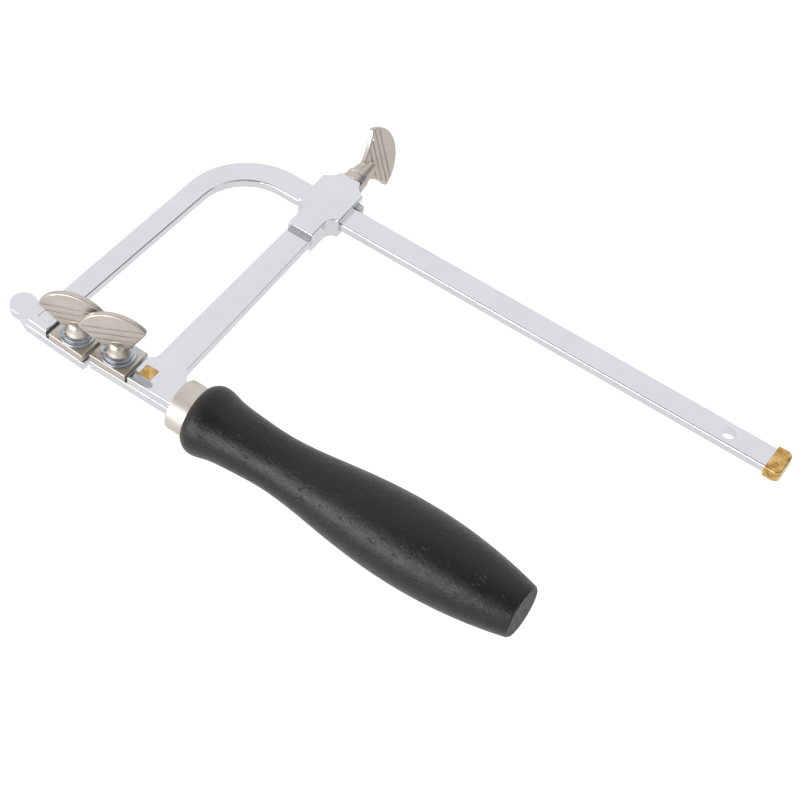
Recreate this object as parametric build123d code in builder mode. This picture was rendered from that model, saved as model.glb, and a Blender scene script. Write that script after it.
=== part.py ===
from build123d import *
import os
from math import cos, radians, sin, tan

os.makedirs("parts", exist_ok=True)

# A piercing saw frame, lying flat. X runs along the handle from the bench button to the
# butt, Y from the handle across to the spine, and Z up, the way the clamp screws stand.
# Sketches are drawn from the point where the handle axis leaves the front of the ferrule.

# Bars
bar_t = 3.2                # thickness of every flat bar
clamp_z = -0.65            # joint between the arms and the clamp bars, below the handle axis
bar_edge_r = 0.65          # rounding of the long edges of the frame bar
arm_edge_r = 0.25          # rounding of the plated arms and clamp bars

# Spine and front arm, one bar
throat = 84.4              # handle axis to the middle of the spine
spine_w = 8.0
front_arm_w = 6.8
splay = 3.1                # degrees that the front arm leans away from square
front_x = -47.6            # middle of the front arm on the handle axis
bend_outer_r = 22.9
bend_inner_r = 16.0
hang_hole_x = 129.1
hang_hole_r = 2.1

# Brass end cap
cap_x = 142.9
cap_l = 4.9
cap_wall = 0.6
cap_corner_r = 1.9

# Slider
slider_x = -9.4            # middle of the slider and of the rear arm
slider_t = 7.4
slider_w = 14.4
neck_w = 8.6
neck_y = 70.0
neck_top_y = 76.4
block_y = 79.4
shoulder_y = 92.1
crown_y = 96.2
crown_w = 6.8
slide_clearance = 0.06

# Pressure shoe
shoe_l = 15.6
shoe_w = 2.5
shoe_right_x = -0.4
shoe_travel = 1.5
shoe_pocket = 1.2

# Rear arm
arm_w_top = 8.1
arm_w_low = 9.5
tenon_w = 5.0
tenon_l = 8.0
head_left_x = -16.15
head_front_y = -3.35
head_back_y = 6.1
head_shoulder_y = 8.3
slot_w = 2.1
slot_l = 7.6
slot_depth = 1.7
stud_size = 4.15

# Clamps
jaw_l = 12.5
jaw_w = 10.6
jaw_t = 2.65
jaw_gap = 0.3              # open gap between a shut jaw and its clamp bar
rear_jaw_x = -29.6         # left end of the rear clamp
front_jaw_u = 4.5          # start of the front jaw, from the middle of the front arm
front_face_v = -4.2        # front face of the front clamp, from the handle axis
button_r = 4.1
button_u = -10.2
button_v = 1.3
neck_root_u = 4.3          # where the button's neck leaves the clamp bar
pin_r = 0.8
pin_h = 1.6
pin_offset = 4.1           # guide pin from the clamp screw, both ways

# Thumbscrews
shank_r = 2.0
thread_clearance = 0.05
washer_r = 5.2
washer_t = 0.8
ring_r = 4.3
ring_t = 0.7
slider_ring_t = 1.6
wing_t = 1.8
ridge_w = 0.45
ridge_proud = 0.22
clamp_lean = 10
rear_turn = 20             # degrees that the wings are turned from the handle axis
front_turn = 16
slider_turn = -72.3        # degrees from the handle axis, seen along the slider's screw

# Handle and ferrule
ferrule_r = 7.75
ferrule_l = 6.7
ferrule_wall = 0.8
ferrule_front_t = 1.0
belly_r = 12.25
belly_x = 76.0
handle_end_x = 113.6
butt_r = 7.45
tang_w = 6.0
tang_l = 58.0

# Places worked out from the sizes above
bar_mid_z = clamp_z + bar_t / 2
jaw_mid_y = head_front_y + jaw_w / 2
front_mid_v = front_face_v + jaw_w / 2
spine_in_y = throat - spine_w / 2
spine_out_y = throat + spine_w / 2
jaw_top_z = clamp_z + jaw_gap + jaw_t
screw_seat_z = jaw_top_z + washer_t + ring_t
screw_seat_y = crown_y + slider_ring_t

# The origin stands on the floor under the middle of the saw.
slider_wing_h = 21.5
wing_top_y = screw_seat_y + slider_wing_h
button_left_x = front_x + button_u - button_r
saw_x = -(cap_x + cap_l + button_left_x) / 2
saw_y = -(wing_top_y - belly_r) / 2
saw_z = belly_r


def level(z):
    """Horizontal drawing plane at a height over the handle axis."""
    return Plane((saw_x, saw_y, saw_z + z))


def front_level(z):
    """Drawing plane of the front clamp: its X lies along the clamp, turned by the splay."""
    lean = radians(splay)
    return Plane((saw_x + front_x, saw_y, saw_z + z), x_dir=(cos(lean), -sin(lean), 0))


def front_point(u, v):
    """Point of the front clamp, in the plan seen from the handle axis."""
    lean = radians(splay)
    return (front_x + u * cos(lean) + v * sin(lean), v * cos(lean) - u * sin(lean))


def square_hole(plane, centre, size, depth):
    """Cut a square hole upwards from a plane in the part being built."""
    with BuildSketch(plane) as hole_plan:
        with Locations(centre):
            Rectangle(size, size)
    extrude(hole_plan.sketch, amount=depth, mode=Mode.SUBTRACT)


def round_hole(plane, centre, radius, depth):
    """Cut a round hole along a plane's normal in the part being built."""
    with BuildSketch(plane) as hole_plan:
        with Locations(centre):
            Circle(radius)
    extrude(hole_plan.sketch, amount=depth, mode=Mode.SUBTRACT)


def outline_edges(part, radius):
    """Round the top and bottom outlines of a flat bar."""
    rims = part.edges().group_by(Axis.Z)
    fillet(rims[0] + rims[-1], radius)


# ---------------------------------------------------------------- frame bar
# The arm's edges lean by the splay, and both bends are round.
arm_half = front_arm_w / 2
arm_reach = arm_half / cos(radians(splay))
arm_slope = tan(radians(splay))
outer_corner = (front_x - arm_reach + spine_out_y * arm_slope, spine_out_y)
inner_corner = (front_x + arm_reach + spine_in_y * arm_slope, spine_in_y)
spine_end_x = cap_x + cap_l - 1.2
with BuildPart() as frame_bar:
    with BuildSketch(level(clamp_z)) as bar_outline:
        with BuildLine():
            Polyline(
                front_point(-arm_half, front_face_v),
                outer_corner,
                (spine_end_x, spine_out_y),
                (spine_end_x, spine_in_y),
                inner_corner,
                front_point(arm_half, front_face_v),
                close=True,
            )
        make_face()
        fillet(bar_outline.vertices().sort_by_distance(outer_corner)[0], bend_outer_r)
        fillet(bar_outline.vertices().sort_by_distance(inner_corner)[0], bend_inner_r)
    extrude(amount=bar_t)
    outline_edges(frame_bar, bar_edge_r)
    round_hole(level(clamp_z), (hang_hole_x, throat), hang_hole_r, bar_t)
    square_hole(front_level(clamp_z), (0, 0.5), stud_size, bar_t)
frame_bar.part.label = "frame_bar"
export_step(frame_bar.part, "parts/frame_bar.step")

# ---------------------------------------------------------------- end cap
cap_mid = (cap_x + cap_l / 2, throat)
with BuildPart() as end_cap:
    with BuildSketch(level(clamp_z - cap_wall)):
        with Locations(cap_mid):
            Rectangle(cap_l, spine_w + 2 * cap_wall)
    extrude(amount=bar_t + 2 * cap_wall)
    fillet(end_cap.faces().sort_by(Axis.X)[-1].edges().filter_by(Axis.Z), cap_corner_r)
    outline_edges(end_cap, 0.5)
    with BuildSketch(level(clamp_z)):
        with Locations((cap_x + (spine_end_x - cap_x) / 2, throat)):
            Rectangle(spine_end_x - cap_x, spine_w)
    extrude(amount=bar_t, mode=Mode.SUBTRACT)
end_cap.part.label = "end_cap"
export_step(end_cap.part, "parts/end_cap.step")

# ---------------------------------------------------------------- front clamp bar and button
front_bar_l = front_jaw_u + jaw_l + 0.3
front_screw = (front_jaw_u + jaw_l / 2, front_mid_v)
front_pin_point = (front_screw[0] - pin_offset, front_mid_v + pin_offset * 0.85)
with BuildPart() as front_clamp_bar:
    with BuildSketch(front_level(clamp_z - bar_t)):
        with BuildLine():
            Polyline(
                (-neck_root_u, front_face_v),
                (front_bar_l, front_face_v),
                (front_bar_l, front_face_v + jaw_w),
                (-neck_root_u, front_face_v + jaw_w),
                (-neck_root_u, 3.8),
                (button_u + 1.0, button_v + 3.7),
                (button_u + 1.0, button_v - 3.7),
                close=True,
            )
        make_face()
        with Locations((button_u, button_v)):
            Circle(button_r)
    extrude(amount=bar_t)
    outline_edges(front_clamp_bar, arm_edge_r)
    square_hole(front_level(clamp_z - bar_t), (0, 0.5), stud_size, bar_t)
    round_hole(front_level(clamp_z - bar_t), front_screw, shank_r + thread_clearance, bar_t)
    round_hole(front_level(clamp_z - bar_t), front_pin_point, pin_r, bar_t)
front_clamp_bar.part.label = "front_clamp_bar"
export_step(front_clamp_bar.part, "parts/front_clamp_bar.step")


def square_stud(plane, centre, height):
    """Square rivet through an arm and the clamp bar under it, with its ends rounded over."""
    with BuildPart() as stud:
        with BuildSketch(plane):
            with Locations(centre):
                Rectangle(stud_size, stud_size)
        extrude(amount=height)
        outline_edges(stud, 0.3)
    return stud


front_stud = square_stud(front_level(clamp_z - bar_t), (0, 0.5), 2 * bar_t)
front_stud.part.label = "front_stud"
export_step(front_stud.part, "parts/front_stud.step")

# ---------------------------------------------------------------- rear arm
# The arm widens a little towards its head. A tenon enters the slider.
arm_low_y = 10.6
tenon_top_y = neck_y + tenon_l
head_end_x = ferrule_front_t
with BuildPart() as rear_arm:
    with BuildSketch(level(clamp_z)) as arm_plan:
        with BuildLine():
            Polyline(
                (slider_x - arm_w_top / 2, neck_y),
                (slider_x - arm_w_low / 2, arm_low_y),
                (slider_x - arm_w_low / 2, 7.8),
                (head_left_x + 1.0, 6.9),
                (head_left_x, 5.9),
                (head_left_x, head_front_y),
                (head_end_x, head_front_y),
                (head_end_x, head_back_y),
                (slider_x + 6.6, head_back_y),
                (slider_x + 5.3, head_shoulder_y),
                (slider_x + arm_w_low / 2, head_shoulder_y + 0.6),
                (slider_x + arm_w_top / 2, neck_y),
                close=True,
            )
        make_face()
        fillet(arm_plan.vertices().sort_by_distance((slider_x - arm_w_low / 2, 7.8))[0], 1.8)
    extrude(amount=bar_t)
    outline_edges(rear_arm, arm_edge_r)
    with BuildSketch(level(clamp_z)):
        with Locations((slider_x, neck_y + tenon_l / 2)):
            Rectangle(tenon_w, tenon_l)
    extrude(amount=bar_t)
    with BuildSketch(level(clamp_z + bar_t - slot_depth)):
        with Locations((head_left_x + slot_l / 2 - slot_w / 2, head_front_y + 0.6 + slot_w / 2)):
            SlotOverall(slot_l + slot_w, slot_w)
    extrude(amount=slot_depth, mode=Mode.SUBTRACT)
    square_hole(level(clamp_z), (head_left_x + 3.65, 1.65), stud_size, bar_t)
rear_arm.part.label = "rear_arm"
export_step(rear_arm.part, "parts/rear_arm.step")

rear_stud = square_stud(level(clamp_z - bar_t), (head_left_x + 3.65, 1.65), 2 * bar_t)
rear_stud.part.label = "rear_stud"
export_step(rear_stud.part, "parts/rear_stud.step")

# ---------------------------------------------------------------- rear clamp bar and tang
screw_x = rear_jaw_x + jaw_l / 2
pin_point = (screw_x + pin_offset, jaw_mid_y + pin_offset * 0.85)
with BuildPart() as rear_clamp_bar:
    with BuildSketch(level(clamp_z - bar_t)):
        with BuildLine():
            Polyline(
                (rear_jaw_x, head_front_y),
                (head_end_x, head_front_y),
                (head_end_x, -tang_w / 2),
                (tang_l - 12, -tang_w / 2),
                (tang_l, -tang_w / 6),
                (tang_l, tang_w / 6),
                (tang_l - 12, tang_w / 2),
                (head_end_x, tang_w / 2),
                (head_end_x, head_back_y),
                (slider_x + 6.6, head_back_y),
                (slider_x + 5.5, jaw_mid_y + jaw_w / 2),
                (rear_jaw_x, jaw_mid_y + jaw_w / 2),
                close=True,
            )
        make_face()
    extrude(amount=bar_t)
    outline_edges(rear_clamp_bar, arm_edge_r)
    square_hole(level(clamp_z - bar_t), (head_left_x + 3.65, 1.65), stud_size, bar_t)
    round_hole(level(clamp_z - bar_t), (screw_x, jaw_mid_y), shank_r + thread_clearance, bar_t)
    round_hole(level(clamp_z - bar_t), pin_point, pin_r, bar_t)
rear_clamp_bar.part.label = "rear_clamp_bar"
export_step(rear_clamp_bar.part, "parts/rear_clamp_bar.step")


# ---------------------------------------------------------------- guide pins
def guide_pin(plane, centre):
    """Pin pressed into a clamp bar; its top stands in the jaw and keeps the jaw square."""
    with BuildPart() as pin:
        with BuildSketch(plane):
            with Locations(centre):
                Circle(pin_r)
        extrude(amount=bar_t + pin_h)
        chamfer(pin.faces().sort_by(Axis.Z)[-1].edges(), 0.2)
    return pin


front_guide_pin = guide_pin(front_level(clamp_z - bar_t), front_pin_point)
front_guide_pin.part.label = "front_guide_pin"
export_step(front_guide_pin.part, "parts/front_guide_pin.step")

rear_guide_pin = guide_pin(level(clamp_z - bar_t), pin_point)
rear_guide_pin.part.label = "rear_guide_pin"
export_step(rear_guide_pin.part, "parts/rear_guide_pin.step")


# ---------------------------------------------------------------- jaws and washers
def clamp_jaw(plane, centre, pin_centre):
    """Moving jaw: a block with a clear hole for the screw and a blind one for the pin."""
    with BuildPart() as jaw:
        with BuildSketch(plane):
            with Locations(centre):
                Rectangle(jaw_l, jaw_w)
        extrude(amount=jaw_t)
        outline_edges(jaw, 0.3)
        round_hole(plane, centre, shank_r + 0.3, jaw_t)
        round_hole(plane, pin_centre, pin_r + 0.1, pin_h + 0.2)
    return jaw


def ring(plane, centre, radius, thickness, split):
    """Washer around a screw; a spring washer is split on one side."""
    with BuildPart() as washer:
        with BuildSketch(plane):
            with Locations(centre):
                Circle(radius)
                Circle(shank_r + 0.2, mode=Mode.SUBTRACT)
        extrude(amount=thickness)
        fillet(washer.edges().filter_by(GeomType.CIRCLE), 0.2)
        if split:
            with BuildSketch(plane) as slit:
                with Locations(Location((centre[0], centre[1]), 55)):
                    with Locations((radius, 0)):
                        Rectangle(radius, 0.5)
            extrude(slit.sketch, amount=thickness, mode=Mode.SUBTRACT)
    return washer


front_jaw = clamp_jaw(front_level(clamp_z + jaw_gap), front_screw, front_pin_point)
front_jaw.part.label = "front_jaw"
export_step(front_jaw.part, "parts/front_jaw.step")

rear_jaw = clamp_jaw(level(clamp_z + jaw_gap), (screw_x, jaw_mid_y), pin_point)
rear_jaw.part.label = "rear_jaw"
export_step(rear_jaw.part, "parts/rear_jaw.step")

front_washer = ring(front_level(jaw_top_z), front_screw, washer_r, washer_t, False)
front_washer.part.label = "front_washer"
export_step(front_washer.part, "parts/front_washer.step")

rear_washer = ring(level(jaw_top_z), (screw_x, jaw_mid_y), washer_r, washer_t, False)
rear_washer.part.label = "rear_washer"
export_step(rear_washer.part, "parts/rear_washer.step")

front_spring_washer = ring(front_level(jaw_top_z + washer_t), front_screw, ring_r, ring_t, True)
front_spring_washer.part.label = "front_spring_washer"
export_step(front_spring_washer.part, "parts/front_spring_washer.step")

rear_spring_washer = ring(level(jaw_top_z + washer_t), (screw_x, jaw_mid_y), ring_r, ring_t, True)
rear_spring_washer.part.label = "rear_spring_washer"
export_step(rear_spring_washer.part, "parts/rear_spring_washer.step")


# ---------------------------------------------------------------- thumbscrews
def fan_outline(face, wing, inset):
    """Outline of a wing, drawn in by inset: an arc over the top and two arcs down to the root."""
    half_w, tip_h, top_h, (bend_w, bend_h), (root_w, root_h) = wing[:5]
    tip = (half_w - inset, tip_h)
    bend = (bend_w - inset, bend_h)
    root = (root_w - inset, root_h + inset)
    with BuildSketch(face) as fan:
        with BuildLine():
            ThreePointArc((-tip[0], tip[1]), (0, top_h - inset), tip)
            ThreePointArc(tip, bend, root)
            Line(root, (-root[0], root[1]))
            ThreePointArc((-root[0], root[1]), (-bend[0], bend[1]), (-tip[0], tip[1]))
        make_face()
        fillet(fan.vertices().filter_by(lambda corner: abs(corner.X) > root_w + 1), 0.8)
    return fan


def thumbscrew(seat, shank, tip_r, neck, wing):
    """Wing screw on a seat plane, whose normal is the screw's axis and whose X is the wing's chord.

    neck is a list of (radius, height) from the seat up. wing holds the half width, the heights
    of tip and top, the bend and root of the lower edge, the highest ridge, the ridges' spacing
    and the angle by which the cast wing leans on its neck.
    """
    root_w = wing[4][0]
    ridge_h, ridge_step, lean = wing[5:]
    face = Plane(seat.origin, x_dir=seat.x_dir, z_dir=-seat.y_dir)
    chord = seat.x_dir * cos(radians(lean)) + seat.z_dir * sin(radians(lean))
    leaning = Plane(seat.origin, x_dir=chord, z_dir=-seat.y_dir)
    outline = fan_outline(leaning, wing, 0)
    inner_outline = fan_outline(leaning, wing, 0.75)
    with BuildPart() as screw:
        extrude(outline.sketch, amount=wing_t / 2, both=True)
        rims = screw.faces().filter_by(Axis(seat.origin, face.z_dir)).edges()
        fillet(rims.filter_by(lambda edge: edge.length > 2 * root_w + 0.5), 0.45)
        with BuildSketch(face):
            with BuildLine():
                Polyline((0, neck[-1][1]), (0, -shank), (tip_r, -shank), (tip_r, -shank + 1.3))
                Polyline((tip_r, -shank + 1.3), (shank_r, -shank + 1.6), (shank_r, 0), neck[0])
                Polyline(*neck, (0, neck[-1][1]))
            make_face()
        revolve(axis=Axis(seat.origin, seat.z_dir))
        with BuildSketch(leaning) as ridges:
            for row in range(4):
                with Locations((0, ridge_h - ridge_step * row)):
                    Rectangle(2 * wing[0], ridge_w)
            add(inner_outline.sketch_local, mode=Mode.INTERSECT)
        extrude(amount=wing_t / 2 + ridge_proud, both=True)
    return screw


clamp_neck = [(3.6, 0), (3.6, 0.8), (3.2, 1.7), (2.7, 3.1), (2.1, 3.9), (0.9, 4.4)]
clamp_wing = (10.2, 9.4, 15.7, (6.9, 5.4), (3.6, 1.7), 9.8, 2.35, clamp_lean)
clamp_shank = screw_seat_z - clamp_z + bar_t - 0.3


def wing_seat(origin, axis, turn, across, along):
    """Seat plane of a thumbscrew; turn swings the wing's chord from across towards along."""
    chord = across * cos(radians(turn)) + along * sin(radians(turn))
    return Plane(origin, x_dir=chord, z_dir=axis)


front_at = front_level(screw_seat_z).from_local_coords(Vector(*front_screw))
front_seat = wing_seat(front_at, Vector(0, 0, 1), front_turn, Vector(1, 0, 0), Vector(0, 1, 0))
front_thumbscrew = thumbscrew(front_seat, clamp_shank, 1.6, clamp_neck, clamp_wing)
front_thumbscrew.part.label = "front_thumbscrew"
export_step(front_thumbscrew.part, "parts/front_thumbscrew.step")

rear_at = level(screw_seat_z).from_local_coords(Vector(screw_x, jaw_mid_y))
rear_seat = wing_seat(rear_at, Vector(0, 0, 1), rear_turn, Vector(1, 0, 0), Vector(0, 1, 0))
rear_thumbscrew = thumbscrew(rear_seat, clamp_shank, 1.6, clamp_neck, clamp_wing)
rear_thumbscrew.part.label = "rear_thumbscrew"
export_step(rear_thumbscrew.part, "parts/rear_thumbscrew.step")

slider_flange = [(3.7, 0), (3.7, 1.1), (3.2, 1.3), (3.6, 1.6)]
slider_neck = slider_flange + [(3.6, 2.6), (3.3, 3.0), (2.4, 8.6), (1.6, 10.0)]
slider_wing = (10.8, 13.2, slider_wing_h, (6.6, 10.3), (3.4, 6.4), 16.0, 2.05, 0)
shoe_y = spine_out_y + 0.05
slider_shank = screw_seat_y - (shoe_y + shoe_w - shoe_pocket) - 0.05
slider_at = level(bar_mid_z).from_local_coords(Vector(slider_x, screw_seat_y))
slider_seat = wing_seat(slider_at, Vector(0, 1, 0), slider_turn, Vector(1, 0, 0), Vector(0, 0, 1))
slider_thumbscrew = thumbscrew(slider_seat, slider_shank, 1.5, slider_neck, slider_wing)
slider_thumbscrew.part.label = "slider_thumbscrew"
export_step(slider_thumbscrew.part, "parts/slider_thumbscrew.step")

# ---------------------------------------------------------------- slider
channel_top_y = shoe_y + shoe_w + shoe_travel + 0.1
slider_plane = Plane((saw_x + slider_x, saw_y, saw_z + bar_mid_z))
with BuildPart() as slider:
    with BuildSketch(slider_plane):
        with BuildLine():
            cove = 0.293 * (slider_w - neck_w) / 2
            Polyline((0, neck_y), (neck_w / 2, neck_y), (neck_w / 2, neck_top_y))
            cove_mid = (neck_w / 2 + cove, block_y - cove)
            ThreePointArc((neck_w / 2, neck_top_y), cove_mid, (slider_w / 2, block_y))
            Line((slider_w / 2, block_y), (slider_w / 2, shoulder_y))
            ThreePointArc((slider_w / 2, shoulder_y), (4.9, 93.7), (crown_w / 2, crown_y))
            Line((crown_w / 2, crown_y), (0, crown_y))
            mirror(about=Plane.YZ)
        make_face()
    extrude(amount=slider_t / 2, both=True)
    outline_edges(slider, 0.35)
    with BuildSketch(slider_plane):
        with Locations((0, (spine_in_y - slide_clearance + channel_top_y) / 2)):
            Rectangle(2 * slider_w, channel_top_y - spine_in_y + slide_clearance)
    extrude(amount=bar_t / 2 + slide_clearance, both=True, mode=Mode.SUBTRACT)
    with BuildSketch(slider_plane):
        with Locations((0, neck_y + tenon_l / 2)):
            Rectangle(tenon_w, tenon_l)
    extrude(amount=bar_t / 2, both=True, mode=Mode.SUBTRACT)
    screw_line = Plane(slider_at, z_dir=(0, -1, 0))
    round_hole(screw_line, (0, 0), shank_r + thread_clearance, slider_shank + 0.1)
slider.part.label = "slider"
export_step(slider.part, "parts/slider.step")

# ---------------------------------------------------------------- pressure shoe
with BuildPart() as pressure_shoe:
    with BuildSketch(level(clamp_z + 0.05)) as shoe_plan:
        with Locations((shoe_right_x - shoe_l / 2, shoe_y + shoe_w / 2)):
            Rectangle(shoe_l, shoe_w)
        fillet(shoe_plan.vertices(), 0.8)
    extrude(amount=bar_t - 0.1)
    outline_edges(pressure_shoe, 0.3)
    pocket_at = level(bar_mid_z).from_local_coords(Vector(slider_x, shoe_y + shoe_w))
    round_hole(Plane(pocket_at, z_dir=(0, -1, 0)), (0, 0), 1.6, shoe_pocket)
pressure_shoe.part.label = "pressure_shoe"
export_step(pressure_shoe.part, "parts/pressure_shoe.step")

crown_at = level(bar_mid_z).from_local_coords(Vector(slider_x, crown_y))
slider_washer = ring(Plane(crown_at, z_dir=(0, 1, 0)), (0, 0), 3.9, slider_ring_t, True)
slider_washer.part.label = "slider_washer"
export_step(slider_washer.part, "parts/slider_washer.step")

# ---------------------------------------------------------------- ferrule
along = Plane((saw_x, saw_y, saw_z), x_dir=(1, 0, 0), z_dir=(0, -1, 0))
handle_axis = Axis((saw_x, saw_y, saw_z), (1, 0, 0))
slot_w_y = head_back_y - head_front_y
with BuildPart() as ferrule:
    with BuildSketch(along):
        with BuildLine():
            Polyline(
                (0, 0),
                (0, ferrule_r),
                (ferrule_l, ferrule_r),
                (ferrule_l, ferrule_r - ferrule_wall),
                (ferrule_front_t, ferrule_r - ferrule_wall),
                (ferrule_front_t, 0),
                close=True,
            )
        make_face()
    revolve(axis=handle_axis)
    fillet(ferrule.edges().filter_by(GeomType.CIRCLE).group_by(Axis.X)[0], 0.5)
    with BuildSketch(level(clamp_z - bar_t - 0.04)):
        with Locations((ferrule_front_t / 2, (head_front_y + head_back_y) / 2)):
            Rectangle(ferrule_front_t, slot_w_y + 0.08)
    extrude(amount=2 * bar_t + 0.08, mode=Mode.SUBTRACT)
ferrule.part.label = "ferrule"
export_step(ferrule.part, "parts/ferrule.step")

# ---------------------------------------------------------------- handle
tenon_r = ferrule_r - ferrule_wall - 0.02
handle_front_x = ferrule_front_t + 0.05
with BuildPart() as handle:
    with BuildSketch(along) as handle_profile:
        with BuildLine():
            Polyline(
                (handle_front_x, 0),
                (handle_front_x, tenon_r),
                (ferrule_l, tenon_r),
                (ferrule_l, 9.3),
            )
            Spline(
                (ferrule_l, 9.3),
                (9.4, 10.65),
                (14.5, 9.8),
                (21.0, 8.95),
                (32.5, 8.35),
                (54.0, 10.5),
                (belly_x, belly_r),
                (95.0, 11.25),
                (handle_end_x - 0.5, butt_r + 0.5),
            )
            Polyline(
                (handle_end_x - 0.5, butt_r + 0.5),
                (handle_end_x, butt_r),
                (handle_end_x, 0),
                (handle_front_x, 0),
            )
        make_face()
    revolve(axis=handle_axis)
    with BuildSketch(level(clamp_z - bar_t - 0.03)):
        with Locations(((tang_l + 1) / 2, 0)):
            Rectangle(tang_l + 1, tang_w + 0.06)
    extrude(amount=bar_t + 0.06, mode=Mode.SUBTRACT)
handle.part.label = "handle"
export_step(handle.part, "parts/handle.step")
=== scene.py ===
import math

import bpy
from mathutils import Matrix, Vector

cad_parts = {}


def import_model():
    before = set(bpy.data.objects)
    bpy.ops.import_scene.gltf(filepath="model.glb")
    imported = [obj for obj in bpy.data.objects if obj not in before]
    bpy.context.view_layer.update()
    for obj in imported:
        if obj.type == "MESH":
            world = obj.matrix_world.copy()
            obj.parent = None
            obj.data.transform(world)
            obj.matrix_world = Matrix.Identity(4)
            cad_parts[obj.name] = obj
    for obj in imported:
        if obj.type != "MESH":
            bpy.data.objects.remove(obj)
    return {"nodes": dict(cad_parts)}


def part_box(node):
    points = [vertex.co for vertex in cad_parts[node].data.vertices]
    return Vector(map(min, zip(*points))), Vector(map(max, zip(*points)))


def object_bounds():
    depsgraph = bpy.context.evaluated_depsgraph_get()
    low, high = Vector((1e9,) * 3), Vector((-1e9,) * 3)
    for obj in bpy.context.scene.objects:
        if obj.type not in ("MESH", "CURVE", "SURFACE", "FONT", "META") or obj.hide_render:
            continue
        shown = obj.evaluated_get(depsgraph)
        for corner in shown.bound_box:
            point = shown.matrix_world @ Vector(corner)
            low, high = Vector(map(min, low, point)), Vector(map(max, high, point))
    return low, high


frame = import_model()
cad_box = [list(corner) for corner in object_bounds()]
nodes = frame["nodes"]

MM = 0.001
# A Mix node's sockets for colours; the ones between are for its other data types.
MIX_FACTOR, MIX_LOW, MIX_HIGH, MIX_RESULT = 0, 6, 7, 2


# ------------------------------------------------------------------ node helpers
class Shader:
    """A material's node tree, with short names for the nodes that the finishes share."""

    def __init__(self, name):
        self.material = bpy.data.materials.new(name)
        self.material.use_nodes = True
        self.tree = self.material.node_tree
        self.bsdf = self.tree.nodes["Principled BSDF"]
        self.place = self.add("ShaderNodeTexCoord").outputs["Object"]

    def add(self, kind, **settings):
        node = self.tree.nodes.new(kind)
        for key, value in settings.items():
            setattr(node, key, value)
        return node

    def join(self, source, target):
        self.tree.links.new(source, target)

    def set(self, **values):
        for key, value in values.items():
            self.bsdf.inputs[key.replace("_", " ")].default_value = value

    def stretched(self, scale, turn=(0, 0, 0)):
        """Object coordinates scaled per axis, for brushing, drawing lines and grain."""
        mapping = self.add("ShaderNodeMapping")
        mapping.inputs["Scale"].default_value = scale
        mapping.inputs["Rotation"].default_value = turn
        self.join(self.place, mapping.inputs["Vector"])
        return mapping.outputs["Vector"]

    def noise(self, scale, detail=3.0, rough=0.5, at=None):
        node = self.add("ShaderNodeTexNoise")
        node.inputs["Scale"].default_value = scale
        node.inputs["Detail"].default_value = detail
        node.inputs["Roughness"].default_value = rough
        self.join(at or self.place, node.inputs["Vector"])
        return node.outputs["Fac"]

    def ramp(self, value, stops):
        """A colour ramp; stops are (place, grey or colour)."""
        node = self.add("ShaderNodeValToRGB")
        while len(node.color_ramp.elements) < len(stops):
            node.color_ramp.elements.new(0.5)
        for element, (place, colour) in zip(node.color_ramp.elements, stops):
            shade = colour if isinstance(colour, tuple) else (colour, colour, colour)
            element.position, element.color = place, (*shade, 1)
        self.join(value, node.inputs["Fac"])
        return node.outputs["Color"]

    def mix(self, amount, low, high):
        """A colour between low and high, which are colours or sockets; amount is a socket."""
        node = self.add("ShaderNodeMix", data_type="RGBA")
        for slot, value in ((MIX_FACTOR, amount), (MIX_LOW, low), (MIX_HIGH, high)):
            if isinstance(value, tuple):
                node.inputs[slot].default_value = (*value, 1)
            else:
                self.join(value, node.inputs[slot])
        return node.outputs[MIX_RESULT]

    def maths(self, operation, first, second):
        """A Math node; first and second are numbers or sockets."""
        node = self.add("ShaderNodeMath", operation=operation)
        for slot, value in ((0, first), (1, second)):
            if isinstance(value, float):
                node.inputs[slot].default_value = value
            else:
                self.join(value, node.inputs[slot])
        return node.outputs[0]

    def bump(self, height, strength, distance, after=None):
        node = self.add("ShaderNodeBump")
        node.inputs["Strength"].default_value = strength
        node.inputs["Distance"].default_value = distance
        self.join(height, node.inputs["Height"])
        if after is not None:
            self.join(after, node.inputs["Normal"])
        return node.outputs["Normal"]

    def finish(self, colour, roughness, normal, metallic=1.0):
        """Join the patterns to the surface; a metal unless told otherwise."""
        self.join(colour, self.bsdf.inputs["Base Color"])
        self.join(roughness, self.bsdf.inputs["Roughness"])
        self.join(normal, self.bsdf.inputs["Normal"])
        self.set(Metallic=metallic)
        return self.material

    def varied(self, value, amount, least):
        """A number that runs up from least with a pattern, by amount."""
        return self.maths("ADD", self.maths("MULTIPLY", value, amount), least)


# ------------------------------------------------------------------ materials
def chrome():
    """Bright plating with faint draw lines under it and fine handling marks."""
    shader = Shader("polished_chrome")
    cloud = shader.noise(90, 4, 0.6)
    fine = shader.noise(900, 4, 0.7)
    scratch = shader.noise(260, 5, 0.65, shader.stretched((0.25, 3.0, 1.0), (0, 0, 0.5)))
    marks = shader.maths("MULTIPLY", scratch, 0.06)
    rough = shader.maths("ADD", shader.maths("MULTIPLY", cloud, 0.06), marks)
    rough = shader.maths("ADD", rough, 0.05)
    tone = shader.ramp(cloud, ((0.3, (0.735, 0.745, 0.77)), (0.7, (0.775, 0.785, 0.805))))
    normal = shader.bump(fine, 0.12, 0.02 * MM)
    return shader.finish(tone, rough, shader.bump(scratch, 0.10, 0.02 * MM, normal))


def nickel():
    """Cast and tumbled zinc under satin nickel: warm grey and finely pebbled."""
    shader = Shader("satin_nickel")
    pebble = shader.noise(700, 4, 0.6)
    cloud = shader.noise(120, 3, 0.5)
    tone = shader.ramp(cloud, ((0.3, (0.54, 0.49, 0.435)), (0.7, (0.64, 0.59, 0.53))))
    rough = shader.varied(cloud, 0.20, 0.26)
    return shader.finish(tone, rough, shader.bump(pebble, 0.45, 0.05 * MM))


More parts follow.
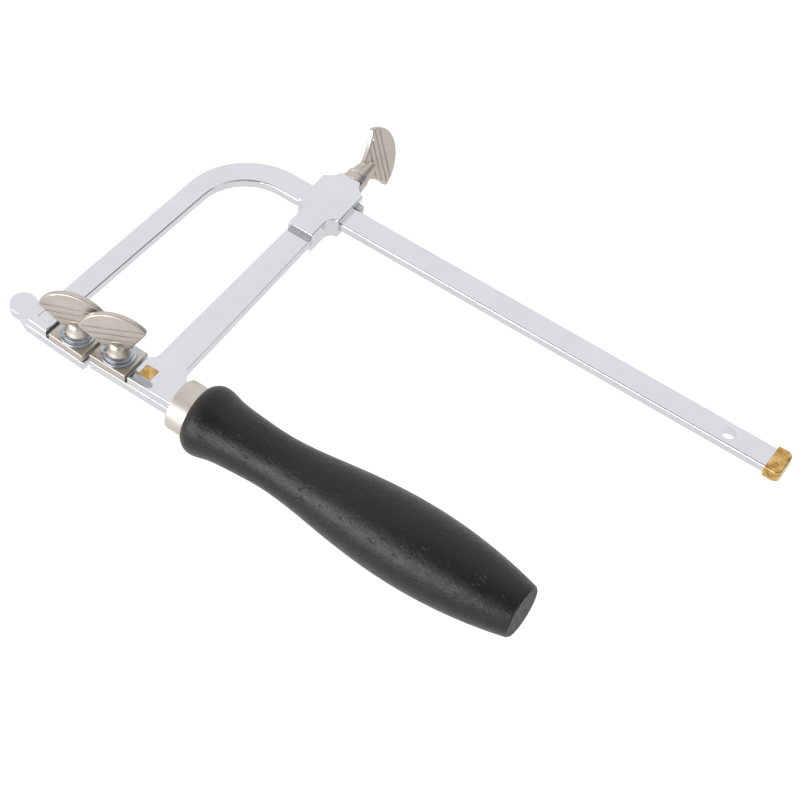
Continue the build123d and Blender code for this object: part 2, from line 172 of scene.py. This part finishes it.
def turned_nickel():
    """The ferrule: drawn tube with a satin finish and fine marks running round it."""
    shader = Shader("turned_nickel")
    rings = shader.noise(240, 5, 0.7, shader.stretched((6.0, 0.25, 0.25)))
    cloud = shader.noise(100, 3, 0.5)
    tone = shader.ramp(cloud, ((0.3, (0.62, 0.575, 0.51)), (0.7, (0.70, 0.655, 0.59))))
    rough = shader.varied(rings, 0.16, 0.34)
    return shader.finish(tone, rough, shader.bump(rings, 0.15, 0.02 * MM))


def zinc():
    """Washers of the clamps: blue-white plating on pressed steel."""
    shader = Shader("blue_zinc")
    cloud = shader.noise(300, 4, 0.6)
    tone = shader.ramp(cloud, ((0.3, (0.42, 0.47, 0.52)), (0.7, (0.62, 0.66, 0.70))))
    rough = shader.varied(cloud, 0.2, 0.16)
    return shader.finish(tone, rough, shader.bump(cloud, 0.15, 0.03 * MM))


def brass():
    """Plain brass, tarnished in small patches."""
    shader = Shader("plain_brass")
    cloud = shader.noise(420, 5, 0.65)
    fine = shader.noise(1100, 4, 0.7)
    tarnish, brown, bright = (0.44, 0.25, 0.07), (0.66, 0.42, 0.14), (0.78, 0.56, 0.25)
    tone = shader.ramp(cloud, ((0.38, tarnish), (0.50, brown), (0.62, bright)))
    rough = shader.varied(cloud, 0.30, 0.06)
    return shader.finish(tone, rough, shader.bump(fine, 0.2, 0.03 * MM))


def steel():
    """Ground steel, for the pins and the shoe."""
    shader = Shader("ground_steel")
    lines = shader.noise(500, 4, 0.6, shader.stretched((0.3, 2.0, 2.0)))
    tone = shader.ramp(lines, ((0.3, 0.42), (0.7, 0.66)))
    rough = shader.varied(lines, 0.2, 0.2)
    return shader.finish(tone, rough, shader.bump(lines, 0.15, 0.02 * MM))


def painted_wood():
    """Turned hardwood under thin black paint: mottled open grain, small pits and a few worn specks.

    The sawn end keeps its coarse end grain and takes less paint.
    """
    shader = Shader("black_painted_wood")
    end_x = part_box("handle")[1].x
    mottle = shader.noise(620, 6, 0.72, shader.stretched((0.6, 1.0, 1.0)))
    grain = shader.noise(2000, 4, 0.7, shader.stretched((0.35, 1.0, 1.0)))
    cloud = shader.noise(110, 4, 0.6)
    pores = shader.noise(700, 3, 0.6, shader.stretched((0.4, 1.0, 1.0)))
    pits = shader.ramp(pores, ((0.30, 0.0), (0.37, 1.0)))
    specks = shader.ramp(shader.noise(560, 5, 0.75), ((0.67, 0.0), (0.72, 1.0)))
    along = shader.add("ShaderNodeSeparateXYZ")
    shader.join(shader.place, along.inputs["Vector"])
    end_face = shader.maths("GREATER_THAN", along.outputs["X"], end_x - 0.03 * MM)

    paint = shader.ramp(cloud, ((0.3, (0.0025, 0.0025, 0.003)), (0.7, (0.006, 0.006, 0.0065))))
    paint = shader.mix(shader.maths("MULTIPLY", specks, 0.4), paint, (0.12, 0.118, 0.115))
    end_grain = shader.ramp(mottle, ((0.38, (0.006, 0.006, 0.006)), (0.62, (0.11, 0.108, 0.105))))
    tone = shader.mix(end_face, paint, end_grain)

    rough = shader.varied(mottle, 0.50, 0.04)
    rough = shader.maths("ADD", rough, shader.maths("MULTIPLY", end_face, 0.30))
    normal = shader.bump(mottle, 0.60, 0.26 * MM)
    normal = shader.bump(grain, 0.80, 0.12 * MM, normal)
    normal = shader.bump(pits, 0.80, 0.20 * MM, normal)
    shader.set(Specular_IOR_Level=0.45)
    return shader.finish(tone, rough, normal, metallic=0.0)


finishes = (
    (chrome, "frame_bar rear_arm slider front_clamp_bar rear_clamp_bar front_stud"),
    (nickel, "front_jaw rear_jaw front_thumbscrew rear_thumbscrew slider_thumbscrew slider_washer"),
    (turned_nickel, "ferrule"),
    (zinc, "front_washer rear_washer front_spring_washer rear_spring_washer"),
    (brass, "end_cap rear_stud"),
    (steel, "front_guide_pin rear_guide_pin pressure_shoe"),
    (painted_wood, "handle"),
)
for make, names in finishes:
    material = make()
    for name in names.split():
        mesh = nodes[name].data
        mesh.materials.clear()
        mesh.materials.append(material)


# ------------------------------------------------------------------ stage
def floor():
    """A seamless pale sheet under the saw.

    The camera sees it brighter than the metal's reflections do.
    """
    half, drop = 3.0, 0.5 * MM
    mesh = bpy.data.meshes.new("floor")
    level = cad_box[0][2] - drop
    corners = [(x * half, y * half, level) for x, y in ((-1, -1), (1, -1), (1, 1), (-1, 1))]
    mesh.from_pydata(corners, [], [(0, 1, 2, 3)])
    sheet = bpy.data.objects.new("floor", mesh)
    bpy.context.scene.collection.objects.link(sheet)
    paper = Shader("pale_paper")
    paper.set(Base_Color=(0.3, 0.3, 0.3, 1), Roughness=0.9, Specular_IOR_Level=0.0)
    paper.set(Emission_Color=(1, 1, 1, 1))
    seen = paper.add("ShaderNodeLightPath").outputs["Is Camera Ray"]
    glow_reflected, glow_seen = 0.66, 0.98
    glow = paper.varied(seen, glow_seen - glow_reflected, glow_reflected)
    paper.join(glow, paper.bsdf.inputs["Emission Strength"])
    mesh.materials.append(paper.material)


def area_light(name, place, size, power, target=(0, 0, 10 * MM)):
    data = bpy.data.lights.new(name, "AREA")
    data.shape = "RECTANGLE"
    data.size, data.size_y = size
    data.energy = power
    light = bpy.data.objects.new(name, data)
    bpy.context.scene.collection.objects.link(light)
    light.location = place
    light.rotation_mode = "QUATERNION"
    light.rotation_quaternion = (Vector(target) - Vector(place)).to_track_quat("-Z", "Y")


def world():
    """A pale dome with a dark flag beyond the far right corner, and dimmer behind the camera."""
    sky = bpy.data.worlds.new("studio")
    bpy.context.scene.world = sky
    sky.use_nodes = True
    tree = sky.node_tree
    direction = tree.nodes.new("ShaderNodeTexCoord").outputs["Generated"]

    def shade(towards, stops):
        """A colour by how nearly a direction points towards a given one."""
        nearness = tree.nodes.new("ShaderNodeVectorMath")
        nearness.operation = "DOT_PRODUCT"
        nearness.inputs[1].default_value = Vector(towards).normalized()
        tree.links.new(direction, nearness.inputs[0])
        ramp = tree.nodes.new("ShaderNodeValToRGB")
        for element, (place, colour) in zip(ramp.color_ramp.elements, stops):
            element.position, element.color = place, (*colour, 1)
        tree.links.new(nearness.outputs["Value"], ramp.inputs["Fac"])
        return ramp.outputs["Color"]

    pale = (0.93, 0.935, 0.96)
    dark_flag = shade((0.80, 0.57, 0.30), ((0.85, pale), (0.93, (0.15, 0.15, 0.16))))
    stand = shade((0.289, -0.544, 0.788), ((0.66, (1, 1, 1)), (0.90, (0.38, 0.38, 0.38))))
    dome = tree.nodes.new("ShaderNodeMix")
    dome.data_type, dome.blend_type = "RGBA", "MULTIPLY"
    dome.inputs[MIX_FACTOR].default_value = 1.0
    tree.links.new(dark_flag, dome.inputs[MIX_LOW])
    tree.links.new(stand, dome.inputs[MIX_HIGH])
    tree.links.new(dome.outputs[MIX_RESULT], tree.nodes["Background"].inputs["Color"])


floor()
world()
# A long, low softbox in front draws the white line along the near edges.
area_light("front_low", (-0.45, -1.3, 0.28), (1.6, 0.4), 13)


# ------------------------------------------------------------------ camera
def camera():
    """A long lens to the right of the handle, high up and tipped a little to the right."""
    place = (0.19655, -0.37465, 0.54166)
    azimuth, elevation, roll = (math.radians(angle) for angle in (28.025, 52.402, 7.726))
    back = Vector(
        (
            math.sin(azimuth) * math.cos(elevation),
            -math.cos(azimuth) * math.cos(elevation),
            math.sin(elevation),
        )
    )
    right = Vector((0, 0, 1)).cross(back).normalized()
    up = back.cross(right)
    rolled_right = math.cos(roll) * right + math.sin(roll) * up
    rolled_up = math.cos(roll) * up - math.sin(roll) * right
    data = bpy.data.cameras.new("camera")
    data.lens = 106.6
    data.sensor_width = 36
    data.clip_start = 0.01
    data.clip_end = 20
    eye = bpy.data.objects.new("camera", data)
    bpy.context.scene.collection.objects.link(eye)
    columns = Matrix((rolled_right, rolled_up, back)).transposed().to_4x4()
    eye.matrix_world = Matrix.Translation(place) @ columns
    bpy.context.scene.camera = eye


camera()
bpy.context.scene.view_settings.view_transform = "Standard"
